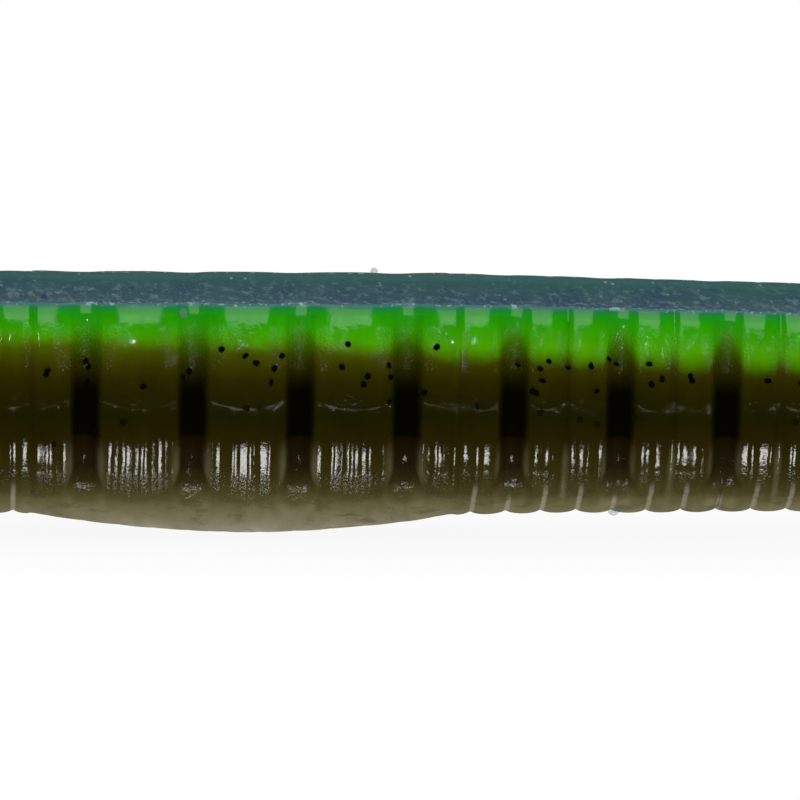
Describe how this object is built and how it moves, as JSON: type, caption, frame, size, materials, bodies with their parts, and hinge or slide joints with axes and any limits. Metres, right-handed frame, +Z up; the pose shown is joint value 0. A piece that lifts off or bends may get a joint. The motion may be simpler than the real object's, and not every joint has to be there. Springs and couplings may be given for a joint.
{
  "type": "soft plastic worm",
  "caption": "Straight-tail soft plastic fishing worm with a flat back, a ringed round belly, a smooth egg sac and bonded pours, flexible along its whole length.",
  "frame": {"origin": "tip of the nose, at the height of the crease along the flank", "axes": "+X from the nose to the tail, +Z up towards the flat back, +Y to the worm's left-hand side"},
  "size_m": [0.1512, 0.0082, 0.0074],
  "materials": {
    "back_film": "matte open-poured blue film with fine bubbles",
    "green_core": "glossy translucent green plastisol with black flakes",
    "smoke_belly": "glossy translucent smoke plastisol, dark in the grooves"
  },
  "bodies": {
    "head": {"head_back": "back_film", "head_core": "green_core", "head_belly": "smoke_belly"},
    "neck": {"neck_back": "back_film", "neck_core": "green_core", "neck_belly": "smoke_belly"},
    "collar": {"collar_back": "back_film", "collar_core": "green_core", "collar_belly": "smoke_belly"},
    "egg_sac": {"egg_sac_back": "back_film", "egg_sac_core": "green_core", "egg_sac_belly": "smoke_belly"},
    "body_1": {"body_1_back": "back_film", "body_1_core": "green_core", "body_1_belly": "smoke_belly"},
    "body_2": {"body_2_back": "back_film", "body_2_core": "green_core", "body_2_belly": "smoke_belly"},
    "body_3": {"body_3_back": "back_film", "body_3_core": "green_core", "body_3_belly": "smoke_belly"},
    "body_4": {"body_4_back": "back_film", "body_4_core": "green_core", "body_4_belly": "smoke_belly"},
    "body_5": {"body_5_back": "back_film", "body_5_core": "green_core", "body_5_belly": "smoke_belly"},
    "tail_1": {"tail_1_back": "back_film", "tail_1_core": "green_core", "tail_1_belly": "smoke_belly"},
    "tail_2": {"tail_2_back": "back_film", "tail_2_core": "green_core", "tail_2_belly": "smoke_belly"},
    "tail_tip": {"tail_tip_back": "back_film", "tail_tip_core": "green_core", "tail_tip_belly": "smoke_belly"}
  },
  "joints": [
    {"name": "head_to_neck_side_flex", "type": "hinge", "parent": "head", "child": "neck", "pos_m": [0.00945, 0, -0.0005], "axis": [0, 0, 1], "range_deg": [-24, 24], "stiffness_Nm_per_rad": 0.0002336},
    {"name": "neck_to_collar_lift_flex", "type": "hinge", "parent": "neck", "child": "collar", "pos_m": [0.02205, 0, -0.0005], "axis": [0, 1, 0], "range_deg": [-24, 24], "stiffness_Nm_per_rad": 0.0002336},
    {"name": "collar_to_egg_sac_side_flex", "type": "hinge", "parent": "collar", "child": "egg_sac", "pos_m": [0.03465, 0, -0.0005], "axis": [0, 0, 1], "range_deg": [-24, 24], "stiffness_Nm_per_rad": 0.0001869},
    {"name": "egg_sac_to_body_1_lift_flex", "type": "hinge", "parent": "egg_sac", "child": "body_1", "pos_m": [0.0504, 0, -0.0005], "axis": [0, 1, 0], "range_deg": [-24, 24], "stiffness_Nm_per_rad": 0.0002336},
    {"name": "body_1_to_body_2_side_flex", "type": "hinge", "parent": "body_1", "child": "body_2", "pos_m": [0.063, 0, -0.00055], "axis": [0, 0, 1], "range_deg": [-24, 24], "stiffness_Nm_per_rad": 0.0001805},
    {"name": "body_2_to_body_3_lift_flex", "type": "hinge", "parent": "body_2", "child": "body_3", "pos_m": [0.0756, 0, -0.00061], "axis": [0, 1, 0], "range_deg": [-24, 24], "stiffness_Nm_per_rad": 0.000137},
    {"name": "body_3_to_body_4_side_flex", "type": "hinge", "parent": "body_3", "child": "body_4", "pos_m": [0.0882, 0, -0.00066], "axis": [0, 0, 1], "range_deg": [-27, 27], "stiffness_Nm_per_rad": 0.0001018},
    {"name": "body_4_to_body_5_lift_flex", "type": "hinge", "parent": "body_4", "child": "body_5", "pos_m": [0.1008, 0, -0.00072], "axis": [0, 1, 0], "range_deg": [-27, 27], "stiffness_Nm_per_rad": 0.0000739},
    {"name": "body_5_to_tail_1_side_flex", "type": "hinge", "parent": "body_5", "child": "tail_1", "pos_m": [0.1134, 0, -0.00077], "axis": [0, 0, 1], "range_deg": [-30, 30], "stiffness_Nm_per_rad": 0.0000522},
    {"name": "tail_1_to_tail_2_lift_flex", "type": "hinge", "parent": "tail_1", "child": "tail_2", "pos_m": [0.126, 0, -0.00082], "axis": [0, 1, 0], "range_deg": [-30, 30], "stiffness_Nm_per_rad": 0.0000357},
    {"name": "tail_2_to_tail_tip_side_flex", "type": "hinge", "parent": "tail_2", "child": "tail_tip", "pos_m": [0.1386, 0, -0.00088], "axis": [0, 0, 1], "range_deg": [-30, 30], "stiffness_Nm_per_rad": 0.0000234}
  ]
}
